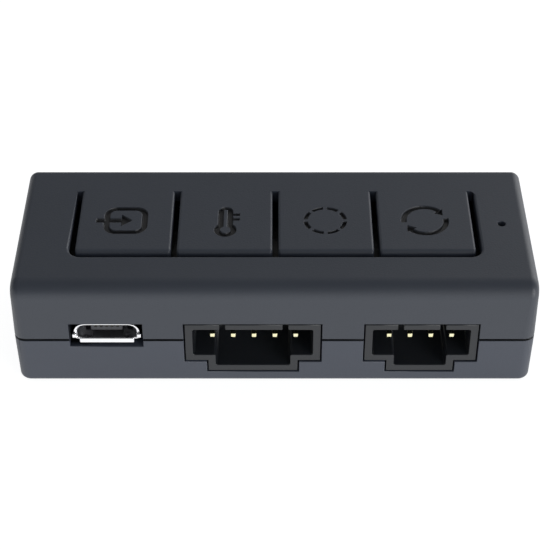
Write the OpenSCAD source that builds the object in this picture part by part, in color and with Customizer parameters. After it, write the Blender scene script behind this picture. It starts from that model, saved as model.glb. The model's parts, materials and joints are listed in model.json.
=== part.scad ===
// Addressable RGB controller: a small two-part plastic housing round one circuit board.
// Four buttons are moulded as tongues in the top cover and press small switches on the board.
// A micro USB socket, a five-pin header and a four-pin header hang from the board's underside
// and look out of the front wall. The origin is the middle of the base, and the front faces -Y.

/* [Housing] */
// Width at the parting line
body_w = 62.2; // [60:0.1:70]
// Depth at the parting line
body_d = 23.5; // [23:0.1:28]
// Height
body_h = 14.9; // [14.6:0.1:18]
// Height of the parting line above the base
parting_z = 6.8; // [6:0.1:7.5]
// Draft of the outer walls, in degrees
draft = 1; // [0.5:0.1:1.5]
// Thickness of the side walls
wall = 1.6; // [1.4:0.1:1.8]
// Thickness of the roof
roof_t = 1.6; // [1.3:0.1:1.8]
// Thickness of the floor
floor_t = 1.5; // [1.2:0.1:1.5]
// Radius of the long edge between the roof and the front wall
front_r = 2; // [1.2:0.1:2.5]
// Radius of the roof's other edges
top_r = 1.1; // [0.6:0.1:1.4]
// Radius of the upright corners
corner_r = 1.4; // [0.8:0.1:1.6]
// Radius of the base's edges
base_r = 0.7; // [0.3:0.1:1]

/* [Parting line] */
// Height of the groove round the parting line
groove_h = 0.3; // [0.2:0.05:0.5]
// Depth of the groove
groove_t = 0.4; // [0.2:0.05:0.5]
// Height of the bottom cover's locating lip
lip_h = 1; // [0.6:0.1:1.5]
// Thickness of the lip
lip_t = 0.6; // [0.5:0.1:0.7]
// Clearance between the lip and the top cover
lip_gap = 0.1; // [0.05:0.05:0.15]

/* [Buttons] */
// Distance from one button to the next
button_pitch = 12.15; // [11.9:0.05:12.4]
// Offset of the button row from the middle
row_x = 0.1; // [-0.5:0.1:0.5]
// Width of the slots beside the buttons
slot_w = 0.95; // [0.7:0.05:1.2]
// Distance from the middle back to the line where the buttons bend
root_y = 6.9; // [6:0.05:7.5]
// Length of a button from that line to its free edge
button_l = 11.75; // [10.5:0.05:12]
// Gap in front of the buttons' free edges
front_gap = 1.1; // [0.8:0.05:1.3]
// Radius of the outer corners of the front gap
slot_r = 1.5; // [1:0.1:1.8]
// Radius of the buttons' free corners
button_r = 0.3; // [0.1:0.1:0.6]
// Thickness of a button's web where it bends
web_t = 0.9; // [0.6:0.1:1.1]
// Length of that thin web
web_l = 1.6; // [1:0.1:2.5]
// Lean of a button's root face, in degrees, more than it turns
root_lean = 4.5; // [3.5:0.5:6]

/* [Switches] */
// Room between the switches' bodies and the roof
switch_room = 1.1; // [1:0.05:1.3]
// Distance of the switches' middle behind the housing's middle
switch_y = 1.05; // [0.5:0.05:1.5]
// Side of a switch's square body
switch_w = 5.2; // [4.5:0.1:5.5]
// Height of a switch's body
switch_h = 1.5; // [1.2:0.1:1.5]
// Diameter of a switch's plunger
plunger_d = 2.4; // [2:0.1:3]
// Height of the plunger above the body
plunger_h = 0.55; // [0.45:0.05:0.6]
// Travel of the plunger
travel = 0.25; // [0.2:0.05:0.3]
// Diameter of the nub under a button
nub_d = 2; // [1.5:0.1:2.2]
// Gap between a nub and its plunger
nub_gap = 0.1; // [0.08:0.01:0.15]

/* [Status light] */
// Distance of the light from the right end wall's outside
light_in = 3.5; // [3:0.1:4]
// Distance of the light behind the middle
light_y = 0.4; // [0:0.1:2]
// Diameter of the light's hole
light_d = 1; // [0.8:0.1:1.4]

/* [Circuit board] */
// Thickness of the board
board_t = 1.6; // [1.2:0.1:1.6]
// Gap between the board's edge and the walls
board_gap = 0.3; // [0.2:0.05:0.5]

/* [Screws] */
// Distance of the screws from the end walls' outside
screw_in_x = 3.9; // [3.8:0.1:4.2]
// Distance of the screws from the front and back walls' outside
screw_in_y = 4.05; // [3.9:0.05:4.3]
// Radius of the bosses round the screws
boss_r = 2.5; // [2.4:0.1:2.6]
// Diameter of a screw's shank
screw_d = 2; // [1.8:0.1:2.2]
// Diameter of a screw's head
screw_head_d = 3.4; // [3.2:0.1:3.6]
// Height of a screw's head
screw_head_h = 1.3; // [1:0.1:1.5]
// Length of a screw under its head
screw_l = 8; // [6:0.5:9]
// Depth from the base to the seat of the screw's head
screw_seat = 2.6; // [2.2:0.1:3.4]
// Clearance round a screw's head and shank in the bottom cover
screw_gap = 0.2; // [0.1:0.05:0.3]

/* [Headers] */
// Distance from one pin to the next
pin_pitch = 2.5; // [2.5:0.02:2.54]
// Side of a square pin
pin_t = 0.64; // [0.5:0.02:0.64]
// Depth of a pin's middle below the board
pin_drop = 2.85; // [2.6:0.05:3]
// Distance from a header's face back to its pins' tips
pin_recess = 1.3; // [0.8:0.1:1.6]
// Place of the five-pin header from left to right
five_x = -2.6; // [-2.8:0.1:-2.4]
// Offset of the five pins from their header's middle
five_shift = 0.14; // [0:0.02:0.2]
// Width of the five-pin header
five_w = 16.2; // [15.8:0.1:16.4]
// Width of its foot, which keeps a plug from going in upside down
five_foot_w = 10.8; // [10:0.1:11.2]
// Distance of the four-pin header's middle from the right end wall's outside
four_in = 13.6; // [13.5:0.05:13.8]
// Width of the four-pin header
four_w = 13.45; // [13:0.05:13.5]
// Width of its foot
four_foot_w = 8.1; // [7.5:0.1:8.6]
// Gap between a header and the board above it
header_drop = 0.05; // [0.05:0.05:0.15]
// Gap between a header's foot and the floor
foot_gap = 0.2; // [0.1:0.05:0.4]
// Height of the foot
foot_h = 1.65; // [1.3:0.05:1.7]
// Thickness of a header's walls
header_t = 0.92; // [0.8:0.02:1.1]
// Thickness of its top wall
header_top_t = 0.8; // [0.7:0.05:1]
// Length of a header from front to back
header_l = 7.6; // [7:0.1:8]
// Thickness of a header's back wall
header_back_t = 1.4; // [1:0.1:2]
// Width of the two slits in a header's top wall
slit_w = 0.7; // [0.5:0.05:0.9]
// Radius inside a header's corners
header_r = 0.25; // [0.1:0.05:0.4]
// How far the headers' faces lie behind the front wall's foot
header_inset = 0.05; // [0:0.05:0.3]
// Gap between a header and its cut-out in the front wall
port_gap = 0.15; // [0.1:0.01:0.25]

/* [Micro USB socket] */
// Distance of the socket's middle from the left end wall's outside
usb_in = 11.13; // [11:0.01:11.5]
// Width of the shell
usb_w = 7.6; // [7.4:0.1:7.7]
// Height of the shell
usb_h = 2.45; // [2.3:0.05:2.6]
// Length of the shell from front to back
usb_l = 5.4; // [5:0.1:5.8]
// Thickness of the shell's sheet
usb_t = 0.3; // [0.2:0.05:0.3]
// Radius of the shell's two shoulders under the board
usb_shoulder_r = 1.4; // [0.8:0.1:1.4]
// Radius of the shell's two lower corners
usb_corner_r = 0.4; // [0.35:0.05:0.6]
// How far the mouth lies behind the front wall's widest line
usb_inset = 0.35; // [0.35:0.05:0.5]
// Reach of the mouth's bent lips, forwards and outwards
usb_lip = 0.3; // [0.2:0.05:0.3]
// Width of the lower lip
usb_lip_w = 6.5; // [6:0.1:6.5]
// Width of the tongue that carries the contacts
usb_tongue_w = 3.7; // [3.5:0.1:4]
// Thickness of the tongue
usb_tongue_t = 0.6; // [0.5:0.05:0.7]
// Gap between the tongue and the shell's inner wall next to the board
usb_tongue_drop = 0.45; // [0.4:0.05:0.6]
// Distance from one contact to the next
usb_contact_pitch = 0.65; // [0.6:0.05:0.65]
// Width of a contact
usb_contact_w = 0.34; // [0.3:0.02:0.36]
// Thickness of a contact
usb_contact_t = 0.14; // [0.1:0.02:0.16]
// Width of the socket's cut-out in the front wall
usb_cut_w = 8.75; // [8.5:0.05:8.9]
// Offset of that cut-out from the socket's middle
usb_cut_shift = -0.08; // [-0.1:0.02:0.1]
// Depth of that cut-out below the board
usb_cut_drop = 3.4; // [3.2:0.1:3.6]

/* [Chips under the board] */
// Distance of the row's middle from the board's back edge
chip_row = 5.5; // [5.2:0.1:6]
// Place of the microcontroller from left to right
controller_x = -4; // [-6:0.5:-3]
// Width of the microcontroller's body
controller_w = 9.9; // [9.8:0.1:10]
// Depth of its body
controller_d = 3.9; // [3.8:0.1:4]
// Height of its body and legs together
controller_h = 1.7; // [1.5:0.05:1.75]
// Distance from one of its legs to the next
controller_pitch = 1.27; // [1:0.01:1.27]
// Place of the voltage regulator from left to right
regulator_x = -16.5; // [-17:0.5:-14]
// Width of the regulator's body
regulator_w = 2.9; // [2.8:0.1:3]
// Depth of its body
regulator_d = 1.6; // [1.5:0.1:1.7]
// Height of its body and legs together
regulator_h = 1.1; // [1:0.05:1.2]
// Distance from one of its legs to the next
regulator_pitch = 1.9; // [1.8:0.05:1.95]
// Gap between the microcontroller and the crystal
crystal_gap = 4; // [1:0.5:5]
// Width of the crystal's can
crystal_w = 3.2; // [3:0.1:3.3]
// Depth of the can
crystal_d = 2.5; // [2.4:0.1:2.6]
// Height of the can
crystal_h = 0.8; // [0.6:0.05:0.9]
// Length of a capacitor or resistor
terminal_l = 2; // [1.8:0.1:2.1]
// Width of a capacitor or resistor
terminal_w = 1.24; // [1.2:0.02:1.3]
// Height of a capacitor
capacitor_h = 0.9; // [0.7:0.05:1.1]
// Height of a resistor
resistor_h = 0.5; // [0.4:0.05:0.6]
// Distance from one capacitor or resistor to the next
terminal_pitch = 3.2; // [2.5:0.1:3.4]
// Distance of the last one's middle from the right end wall's outside
terminal_in = 8.3; // [8:0.1:9]
// Distance between the capacitors' row and the resistors' row
terminal_rows = 3; // [2:0.1:3.5]

/* [Hidden] */
$fn = 64;

// A little more than any cut needs, so that cuts run past the faces they open
past = 1;
// How far bosses, posts, ribs and nubs run into the wall that they stand on
sink = 0.3;
// Clearance between a pin and the plastic that it is pushed through
pin_fit = 0.02;
// Clearance between a plunger and its bore
plunger_fit = 0.05;
// Diameter of the board's holes for the header pins
pin_hole_d = 1.1;
// Radius of the upright corners inside the covers
inside_r = 0.4;
// Smallest radius of an upright corner at the parting line
least_r = 0.3;
// Diameter of the posts under the board's back edge, and their distance from the wall
post_d = 3;
post_gap = 0.2;
// Width of the ribs above that edge, and their reach from the wall
rib_w = 3;
rib_reach = 1.2;
// How far the holes for the screws go up into the roof
pilot_rise = 0.4;

// How far a drafted wall has moved in at height z
function lean(z) = abs(z - parting_z) * tan(draft);

half_w = body_w / 2;
half_d = body_d / 2;
ceiling_z = body_h - roof_t;
// Inset of the straight inside walls, measured where the outside leans in most
inner_in = wall + lean(ceiling_z);
// The board hangs from the roof by the switches' height, so that the nubs meet their plungers
board_z = ceiling_z - switch_room - switch_h - board_t;
board_top = board_z + board_t;
board_back = half_d - inner_in - board_gap;

// Left to right middles of the four buttons, numbered from 1
function button_x(i) = row_x + (i - 2.5) * button_pitch;
button_w = button_pitch - slot_w;
window_half_w = 2 * button_pitch + slot_w / 2;
window_front = root_y - button_l - front_gap;
plunger_top = board_top + switch_h + plunger_h;

light_x = half_w - light_in;
// Base plate of the light, and the dome on it
light_w = 2;
light_base_d = 1.2;
light_base_h = 0.35;
light_dome_d = 1;
light_h = 0.8;

// A switch's body has round corners and four flat legs
switch_corner_r = 0.5;
switch_leg_l = 0.8;
switch_leg_w = 0.7;
switch_leg_t = 0.2;
switch_leg_y = 1.85;
// Length of a plunger inside its body
plunger_in = 0.6;
plunger_l = plunger_h + plunger_in;

// Inset of the lip's outer face
lip_in = 0.9;

screw_x = half_w - screw_in_x;
screw_y = half_d - screw_in_y;
screw_places = [for (sx = [-1, 1], sy = [-1, 1]) [sx * screw_x, sy * screw_y]];
head_z = screw_seat - screw_head_h;
// Crossed slots in a screw's head
drive_l = 2.2;
drive_w = 0.5;
drive_depth = 0.7;

front_at_base = half_d - lean(0);
header_front = -front_at_base + header_inset;
header_end = header_front + header_l;
pin_z = board_z - pin_drop;
pin_bend_r = 0.5;
// Length of a pin's tapered tip, and how far its leg stands out of the board
pin_tip_l = 0.5;
pin_out = 0.9;
// Gap between the shroud and the pins' bends
leg_gap = 0.2;
leg_y = header_end + pin_bend_r + leg_gap;
leg_top = board_top + pin_out;
four_x = half_w - four_in;
header_top = board_z - header_drop;
foot_z = floor_t + foot_gap;
step_z = foot_z + foot_h;
five_pin_x = five_x + five_shift;

usb_x = -half_w + usb_in;
usb_front = -half_d + usb_inset;
usb_bottom = board_z - usb_h;
usb_cavity_l = 2.8;
usb_tongue_top = board_z - usb_t - usb_tongue_drop;
usb_tongue_inset = 0.5;
// Height of the side walls' lips, and their distance above the lower corners
usb_side_lip_h = 0.6;
usb_side_lip_up = 0.35;
// Legs that hold the shell in the board, and the clearance round them
usb_tab_w = 1.2;
usb_tab_up = 1;
usb_tab_gap = 0.05;
// Pockets beside the tongue for the plug's latches: side, depth, and distance from the middle
usb_pocket_w = 0.7;
usb_pocket_l = 1.2;
usb_pocket_x = 2.5;
// Depth of the grooves that hold the contacts, and the contacts' start behind the tongue's tip
contact_sink = 0.2;
contact_start = 0.2;
// Distance from the socket's back to the contacts' upright legs, and length of their solder feet
contact_out = 0.5;
contact_pad = 0.6;

// Middle of the row of chips, and of the two rows of capacitors and resistors
chip_y = board_back - chip_row;
capacitor_y = chip_y - terminal_rows / 2;
resistor_y = chip_y + terminal_rows / 2;
// Gap between a chip's body and the board, and the shape of its legs
chip_stand = 0.1;
leg_w = 0.4;
leg_t = 0.2;
leg_reach = 1;

// Round off one corner of an outline: the centre of the arc, its radius,
// and the angles of the two directions in which the arc meets its sides
module corner_cut(centre, r, from, to) {
    reach = 2 * r + past;
    middle = (from + to) / 2;
    translate(centre)
        difference() {
            polygon([
                [0, 0],
                reach * [cos(from), sin(from)],
                1.5 * reach * [cos(middle), sin(middle)],
                reach * [cos(to), sin(to)]
            ]);
            circle(r);
        }
}

module rounded_rectangle(w, d, r) {
    difference() {
        square([w, d], center = true);
        for (x = [0, 1], y = [0, 1])
            mirror([x, 0])
                mirror([0, y])
                    corner_cut([w / 2 - r, d / 2 - r], r, 0, 90);
    }
}

// The housing as a solid block. Round discs and rings at its eight corners and at the parting
// line are wrapped in one skin, so that drafted walls and edges of several radii run smoothly
// into each other. The rings sit against the leaning walls
module block() {
    hull() {
        for (sx = [-1, 1]) {
            for (sy = [-1, 1]) {
                corner_ring(sx, sy, parting_z, corner_r, 0);
                corner_ring(sx, sy, base_r, corner_r, base_r);
            }
            corner_ring(sx, 1, body_h - top_r, top_r, top_r);
            // front edge of the roof: a disc of the large radius with a rim of the small one
            z = body_h - front_r;
            translate([sx * (half_w - lean(z) - top_r), -(half_d - lean(z) - front_r), z])
                rotate([0, 90, 0])
                    ring(front_r, top_r);
        }
    }
}

// A disc of radius r with a rim rounded by edge_r, lying flat round the origin
module ring(r, edge_r) {
    if (edge_r > 0)
        rotate_extrude($fn = 48)
            intersection() {
                translate([r - edge_r, 0])
                    circle(edge_r, $fn = 48);
                translate([0, -edge_r])
                    square([r, 2 * edge_r]);
            }
    else
        cylinder(r = r, h = 0.01, center = true, $fn = 48);
}

// One corner's ring at height z, inside the leaning walls
module corner_ring(sx, sy, z, r, edge_r) {
    translate([sx * (half_w - lean(z) - r), sy * (half_d - lean(z) - r), z])
        ring(r, edge_r);
}

// Upright ring section between two insets from the housing's widest outline
module rim(outer, inner, from, to) {
    translate([0, 0, from])
        linear_extrude(to - from)
            difference() {
                rounded_rectangle(body_w - 2 * outer, body_d - 2 * outer, max(corner_r - outer, least_r));
                rounded_rectangle(body_w - 2 * inner, body_d - 2 * inner, max(corner_r - inner, least_r));
            }
}

// The hollow inside both covers
module cavity() {
    translate([0, 0, floor_t])
        linear_extrude(ceiling_z - floor_t)
            rounded_rectangle(body_w - 2 * inner_in, body_d - 2 * inner_in, inside_r);
}

// Everything between two heights
module layer(from, to) {
    translate([-body_w, -body_d, from])
        cube([2 * body_w, 2 * body_d, to - from]);
}

// Outline of a header seen from the front, up to the height top and grown by gap at its sides
module header_outline(w, foot_w, top, gap = 0) {
    polygon([
        [-w / 2 - gap, top],
        [-w / 2 - gap, step_z - gap],
        [-foot_w / 2 - gap, step_z - gap],
        [-foot_w / 2 - gap, foot_z - gap],
        [foot_w / 2 + gap, foot_z - gap],
        [foot_w / 2 + gap, step_z - gap],
        [w / 2 + gap, step_z - gap],
        [w / 2 + gap, top]
    ]);
}

// An outline seen from the front, extruded back from y = from to y = to
module run_back(from, to) {
    translate([0, to, 0])
        rotate([90, 0, 0])
            linear_extrude(to - from)
                children();
}

// The cut-outs of the three sockets, through the front wall of both covers
module ports() {
    inner = -half_d + wall + past;
    run_back(-half_d - past, inner) {
        translate([five_x, 0])
            header_outline(five_w, five_foot_w, board_z + port_gap, port_gap);
        translate([four_x, 0])
            header_outline(four_w, four_foot_w, board_z + port_gap, port_gap);
        translate([usb_x + usb_cut_shift - usb_cut_w / 2, board_z - usb_cut_drop])
            square([usb_cut_w, usb_cut_drop + port_gap]);
    }
}

// The opening in the roof that holds the four buttons, with round corners in front
module button_window() {
    mid_y = (root_y + window_front) / 2;
    linear_extrude(body_h + past)
        translate([row_x, 0])
            difference() {
                translate([0, mid_y])
                    square([2 * window_half_w, root_y - window_front], center = true);
                for (flip = [0, 1])
                    mirror([flip, 0])
                        corner_cut([window_half_w - slot_r, window_front + slot_r], slot_r, -90, 0);
            }
}

module top_cover() {
    pilot_top = ceiling_z + pilot_rise;
    color([0.22, 0.24, 0.26])
        difference() {
            union() {
                difference() {
                    block();
                    layer(-past, parting_z);
                    cavity();
                    // half of the groove round the outside, and the rebate that takes the lip
                    rim(-past, groove_t, parting_z - past, parting_z + groove_h / 2);
                    rim(lip_in - lip_gap, wall + past, parting_z - past, parting_z + lip_h + lip_gap);
                    ports();
                }
                // screw bosses, which stand on the bottom cover's posts
                for (p = screw_places)
                    translate([p[0], p[1], parting_z])
                        cylinder(r = boss_r, h = ceiling_z + sink - parting_z);
                // ribs that hold the board down at its back edge
                for (x = [-button_pitch, button_pitch])
                    translate([x - rib_w / 2, half_d - inner_in - rib_reach, board_top])
                        cube([rib_w, rib_reach + sink, ceiling_z + sink - board_top]);
            }
            button_window();
            translate([light_x, light_y, board_top])
                cylinder(d = light_d, h = body_h);
            for (p = screw_places)
                translate([p[0], p[1], parting_z - past])
                    cylinder(d = screw_d, h = pilot_top - parting_z + past);
        }
}

module bottom_cover() {
    color([0.2, 0.22, 0.24])
        difference() {
            union() {
                difference() {
                    block();
                    layer(parting_z, body_h + past);
                    cavity();
                    rim(-past, groove_t, parting_z - groove_h / 2, parting_z + past);
                    ports();
                }
                // locating lip, broken at the bosses and the sockets
                difference() {
                    rim(lip_in, lip_in + lip_t, parting_z - lip_h, parting_z + lip_h);
                    ports();
                    for (p = screw_places)
                        translate([p[0], p[1], parting_z])
                            cylinder(r = boss_r + lip_gap, h = lip_h + past);
                }
                for (p = screw_places)
                    translate([p[0], p[1], floor_t - sink])
                        cylinder(r = boss_r, h = parting_z - floor_t + sink);
                // posts that carry the back of the board
                for (x = [-button_pitch, button_pitch])
                    translate([x, half_d - inner_in - post_gap - post_d / 2, floor_t - sink])
                        cylinder(d = post_d, h = board_z - floor_t + sink);
            }
            for (p = screw_places)
                translate([p[0], p[1], -past]) {
                    cylinder(d = screw_d + 2 * screw_gap, h = parting_z + 2 * past);
                    cylinder(d = screw_head_d + 2 * screw_gap, h = screw_seat + past);
                }
        }
}

// One button: a tongue that bends at its root line, thinner there, with a nub over its switch.
// Its root face leans away from the roof, so that it can turn about its top edge
module button(i) {
    x = button_x(i);
    tip_y = root_y - button_l;
    lean_y = roof_t * tan(root_lean);
    color([0.23, 0.25, 0.27])
        translate([x, 0, 0])
            union() {
                intersection() {
                    rotate([90, 0, 90])
                        linear_extrude(button_w, center = true)
                            polygon([
                                [root_y, body_h],
                                [root_y - web_t * tan(root_lean), body_h - web_t],
                                [root_y - web_l, body_h - web_t],
                                [root_y - web_l - lean_y, ceiling_z],
                                [tip_y, ceiling_z],
                                [tip_y, body_h]
                            ]);
                    linear_extrude(body_h + past)
                        difference() {
                            translate([-button_w / 2, tip_y])
                                square([button_w, button_l]);
                            for (flip = [0, 1])
                                mirror([flip, 0])
                                    corner_cut([button_w / 2 - button_r, tip_y + button_r], button_r, -90, 0);
                        }
                }
                translate([0, switch_y, plunger_top + nub_gap])
                    cylinder(d = nub_d, h = ceiling_z + sink - plunger_top - nub_gap);
            }
}

// Bare board: notched at the screw bosses, drilled for the pins
module circuit_board() {
    w = body_w - 2 * (inner_in + board_gap);
    d = body_d - 2 * (inner_in + board_gap);
    notch = boss_r + board_gap;
    color([0.04, 0.05, 0.05])
        translate([0, 0, board_z])
            difference() {
                linear_extrude(board_t)
                    difference() {
                        square([w, d], center = true);
                        for (sx = [-1, 1], sy = [-1, 1])
                            translate([sx * (screw_x + boss_r), sy * (screw_y + boss_r)])
                                square(2 * (notch + boss_r), center = true);
                    }
                for (i = [0:4])
                    translate([five_pin_x + (i - 2) * pin_pitch, leg_y, -past])
                        cylinder(d = pin_hole_d, h = board_t + 2 * past);
                for (i = [0:3])
                    translate([four_x + (i - 1.5) * pin_pitch, leg_y, -past])
                        cylinder(d = pin_hole_d, h = board_t + 2 * past);
                usb_tabs(usb_tab_gap);
            }
}

// The shell's two legs, which go up into the board; grow gives their slots in the board
module usb_tabs(grow = 0) {
    for (side = [-1, 1])
        translate([usb_x + side * (usb_w - usb_t) / 2, usb_front + usb_l / 2, 0])
            translate([-usb_t / 2 - grow, -usb_tab_w / 2 - grow, -usb_shoulder_r])
                cube([usb_t + 2 * grow, usb_tab_w + 2 * grow, usb_shoulder_r + usb_tab_up + grow]);
}

// Outline of the socket's shell seen from the front, set in by inset
module usb_outline(inset = 0) {
    w = usb_w / 2 - inset;
    low = usb_bottom + inset;
    high = board_z - inset;
    r_high = usb_shoulder_r - inset;
    r_low = max(usb_corner_r - inset, 0.1);
    translate([usb_x, 0])
        difference() {
            translate([-w, low])
                square([2 * w, high - low]);
            for (flip = [0, 1])
                mirror([flip, 0]) {
                    corner_cut([w - r_high, high - r_high], r_high, 0, 90);
                    corner_cut([w - r_low, low + r_low], r_low, -90, 0);
                }
        }
}

// Bent lip at the mouth: a strip that turns outwards as it comes forwards
module usb_lip(length) {
    rotate([90, 0, 90])
        linear_extrude(length, center = true)
            polygon([
                [0, 0],
                [0, usb_t],
                [-usb_lip, usb_t - usb_lip],
                [-usb_lip, -usb_lip]
            ]);
}

module usb_shell() {
    color([0.85, 0.86, 0.88])
        union() {
            difference() {
                run_back(usb_front, usb_front + usb_l)
                    usb_outline();
                run_back(usb_front - past, usb_front + usb_l + past)
                    usb_outline(usb_t);
            }
            translate([usb_x, usb_front, usb_bottom])
                usb_lip(usb_lip_w);
            // short lips at the foot of each side wall
            for (flip = [0, 1])
                translate([usb_x, 0, 0])
                    mirror([flip, 0, 0])
                        translate([usb_w / 2, usb_front, usb_bottom + usb_corner_r + usb_side_lip_up])
                            rotate([0, -90, 0])
                                usb_lip(usb_side_lip_h);
            translate([0, 0, board_z])
                usb_tabs();
        }
}

module usb_insulator() {
    back_y = usb_front + usb_cavity_l;
    color([0.2, 0.2, 0.21])
        difference() {
            union() {
                run_back(back_y, usb_front + usb_l)
                    usb_outline(usb_t);
                translate([usb_x - usb_tongue_w / 2, usb_front + usb_tongue_inset, usb_tongue_top - usb_tongue_t])
                    cube([usb_tongue_w, usb_cavity_l - usb_tongue_inset + past, usb_tongue_t]);
            }
            // grooves that hold the contacts
            for (i = [0:4])
                translate([usb_x + (i - 2) * usb_contact_pitch - usb_contact_w / 2,
                        usb_front, usb_tongue_top - contact_sink])
                    cube([usb_contact_w, usb_l + past, contact_sink]);
            // pockets beside the tongue for the plug's latches
            for (side = [-1, 1])
                translate([usb_x + side * usb_pocket_x - usb_pocket_w / 2,
                        back_y - past, usb_tongue_top - usb_pocket_w])
                    cube([usb_pocket_w, past + usb_pocket_l, usb_pocket_w]);
        }
}

// A contact lies in its groove and turns up to the board behind the socket
module usb_contact(i) {
    start = usb_front + usb_tongue_inset + contact_start;
    leg = usb_front + usb_l + contact_out;
    foot = leg + contact_pad;
    low = usb_tongue_top - contact_sink;
    color([0.9, 0.72, 0.3])
        translate([usb_x + (i - 3) * usb_contact_pitch, 0, 0])
            rotate([90, 0, 90])
                linear_extrude(usb_contact_w - 2 * pin_fit, center = true)
                    polygon([
                        [start, low],
                        [leg, low],
                        [leg, board_z - usb_contact_t],
                        [foot, board_z - usb_contact_t],
                        [foot, board_z],
                        [leg - usb_contact_t, board_z],
                        [leg - usb_contact_t, low + usb_contact_t],
                        [start, low + usb_contact_t]
                    ]);
}

// Header shroud: a box with a foot, open in front, its top wall slit beside the outer pins
module shroud(x, w, foot_w, pins, pin_x) {
    cavity_end = header_end - header_back_t;
    color([0.17, 0.18, 0.19])
        difference() {
            run_back(header_front, header_end)
                translate([x, 0])
                    header_outline(w, foot_w, header_top);
            run_back(header_front - past, cavity_end)
                translate([x, 0])
                    header_cavity(w, foot_w);
            for (side = [-1, 1])
                translate([pin_x + side * (pins - 2) / 2 * pin_pitch - slit_w / 2,
                        header_front - past, header_top - header_top_t - past])
                    cube([slit_w, cavity_end - header_front + past, header_top_t + 2 * past]);
            for (i = [0:pins - 1])
                translate([pin_x + (i - (pins - 1) / 2) * pin_pitch, cavity_end + header_back_t / 2, pin_z])
                    cube([pin_t + 2 * pin_fit, header_back_t + 2 * past, pin_t + 2 * pin_fit], center = true);
        }
}

// The header's inside, seen from the front, with its corners rounded
module header_cavity(w, foot_w) {
    half = w / 2 - header_t;
    foot = foot_w / 2 - header_t;
    high = header_top - header_top_t;
    mid = step_z + header_t;
    low = foot_z + header_t;
    r = header_r;
    difference() {
        union() {
            translate([-half, mid])
                square([2 * half, high - mid]);
            translate([-foot, low])
                square([2 * foot, high - low]);
            for (flip = [0, 1])
                mirror([flip, 0])
                    translate([foot, mid - r])
                        difference() {
                            square(r);
                            translate([r, 0])
                                circle(r);
                        }
        }
        for (flip = [0, 1])
            mirror([flip, 0]) {
                corner_cut([half - r, high - r], r, 0, 90);
                corner_cut([half - r, mid + r], r, -90, 0);
                corner_cut([foot - r, low + r], r, -90, 0);
            }
    }
}

// A square pin with a tapered tip, which turns up behind its header and goes through the board
module pin(x) {
    tip_y = header_front + pin_recess;
    bend_y = leg_y - pin_t / 2 - pin_bend_r;
    bend_z = pin_z + pin_t / 2 + pin_bend_r;
    color([0.93, 0.78, 0.35])
        translate([x, 0, 0])
            union() {
                // straight part, narrowed to half at its tip in both directions
                intersection() {
                    rotate([90, 0, 90])
                        linear_extrude(pin_t, center = true)
                            pin_taper(tip_y, bend_y, pin_z);
                    translate([0, 0, pin_z - pin_t / 2])
                        linear_extrude(pin_t)
                            rotate(-90)
                                mirror([1, 0])
                                    pin_taper(tip_y, bend_y, 0);
                }
                // bend
                translate([0, bend_y, bend_z])
                    rotate([0, 90, 0])
                        rotate_extrude(angle = 90)
                            translate([pin_bend_r, -pin_t / 2])
                                square(pin_t);
                translate([-pin_t / 2, leg_y - pin_t / 2, bend_z])
                    cube([pin_t, pin_t, leg_top - bend_z]);
            }
}

module pin_taper(tip_y, end_y, mid) {
    polygon([
        [tip_y, mid - pin_t / 4],
        [tip_y + pin_tip_l, mid - pin_t / 2],
        [end_y, mid - pin_t / 2],
        [end_y, mid + pin_t / 2],
        [tip_y + pin_tip_l, mid + pin_t / 2],
        [tip_y, mid + pin_t / 4]
    ]);
}

// Switch body on the board, with its four solder legs and the bore that guides the plunger
module switch_body(i) {
    bore_l = plunger_in + travel + plunger_fit;
    color([0.6, 0.61, 0.63])
        translate([button_x(i), switch_y, board_top])
            difference() {
                union() {
                    linear_extrude(switch_h)
                        rounded_rectangle(switch_w, switch_w, switch_corner_r);
                    for (sx = [-1, 1], sy = [-1, 1])
                        translate([sx * switch_w / 2, sy * switch_leg_y, switch_leg_t / 2])
                            cube([switch_leg_l, switch_leg_w, switch_leg_t], center = true);
                }
                translate([0, 0, switch_h - bore_l])
                    cylinder(d = plunger_d + 2 * plunger_fit, h = bore_l + past);
            }
}

module switch_plunger(i) {
    color([0.12, 0.12, 0.12])
        translate([button_x(i), switch_y, plunger_top - plunger_l])
            cylinder(d = plunger_d, h = plunger_l);
}

module status_light() {
    color([0.95, 0.95, 0.9])
        translate([light_x, light_y, board_top])
            union() {
                translate([-light_w / 2, -light_base_d / 2, 0])
                    cube([light_w, light_base_d, light_base_h]);
                cylinder(d = light_dome_d, h = light_h);
            }
}

// Surface-mount chip under the board: a body, and a row of legs down each long side
module chip(w, d, h, legs, pitch) {
    mid = -h / 2;
    union() {
        translate([-w / 2, -d / 2, -h])
            cube([w, d, h - chip_stand]);
        for (i = [0:legs - 1], flip = [0, 1])
            mirror([0, flip, 0])
                translate([(i - (legs - 1) / 2) * pitch, 0, 0])
                    rotate([90, 0, 90])
                        linear_extrude(leg_w, center = true)
                            polygon([
                                [d / 2 - leg_t, mid - leg_t / 2],
                                [d / 2 + leg_reach / 2 - leg_t / 2, mid - leg_t / 2],
                                [d / 2 + leg_reach / 2, -leg_t],
                                [d / 2 + leg_reach, -leg_t],
                                [d / 2 + leg_reach, 0],
                                [d / 2 + leg_reach / 2 - leg_t, 0],
                                [d / 2 + leg_reach / 2 - 1.5 * leg_t, mid + leg_t / 2],
                                [d / 2 - leg_t, mid + leg_t / 2]
                            ]);
    }
}

module microcontroller() {
    color([0.08, 0.08, 0.08])
        translate([controller_x, chip_y, board_z])
            chip(controller_w, controller_d, controller_h, 8, controller_pitch);
}

module voltage_regulator() {
    color([0.08, 0.08, 0.08])
        translate([regulator_x, chip_y, board_z])
            chip(regulator_w, regulator_d, regulator_h, 2, regulator_pitch);
}

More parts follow.
